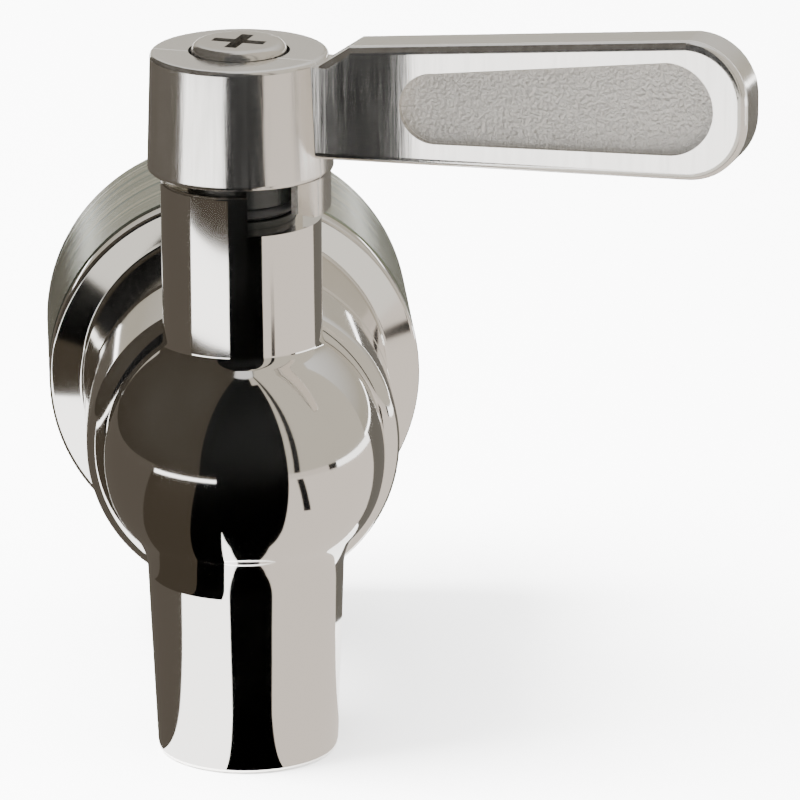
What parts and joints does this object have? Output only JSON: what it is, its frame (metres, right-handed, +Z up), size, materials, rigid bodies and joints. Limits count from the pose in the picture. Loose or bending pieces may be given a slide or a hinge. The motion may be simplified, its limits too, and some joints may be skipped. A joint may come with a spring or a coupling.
{
  "type": "bag in box tap",
  "caption": "Quarter-turn plug tap for bag-in-box filling and dispensing: polished cast body with a spout pointing down, a flat handle on top and a threaded coupling cup behind.",
  "frame": {"origin": "on the inlet axis, in the plane of the back face of the sealing washer, where the container's spigot seats", "axes": "+Y backwards along the inlet, out of the coupling; +Z up along the handle's turning axis; +X to the right, towards the side the handle is on"},
  "size_m": [0.069, 0.0721, 0.0778],
  "materials": {
    "polished_casting": "cast stainless steel polished to a mirror",
    "handle_casting": "polished, with a rough cast recess in the grip",
    "screw_steel": "plain bright",
    "plug_plastic": "machined acetal",
    "seal_rubber": "greased",
    "seat_plastic": "machined",
    "turned_steel": "turned, with fine rings round the axis",
    "nut_brass": "turned",
    "gasket_rubber": "plain",
    "washer_rubber": "plain"
  },
  "bodies": {
    "tap": {"tap_body": "polished_casting", "thrust_washer": "seat_plastic", "seat_bush": "seat_plastic", "coupling_cup": "turned_steel", "ring_nut": "nut_brass", "flange_gasket": "gasket_rubber", "sealing_washer": "washer_rubber"},
    "handle_and_plug": {"handle": "handle_casting", "handle_screw": "screw_steel", "spring_washer": "screw_steel", "valve_core": "plug_plastic", "stem_seal_upper": "seal_rubber", "stem_seal_lower": "seal_rubber", "plug_seal": "seal_rubber"}
  },
  "joints": [
    {"name": "quarter_turn", "type": "hinge", "parent": "tap", "child": "handle_and_plug", "pos_m": [0, -0.0384, 0], "axis": [0, 0, 1], "range_deg": [-48.5, 41.5]}
  ]
}
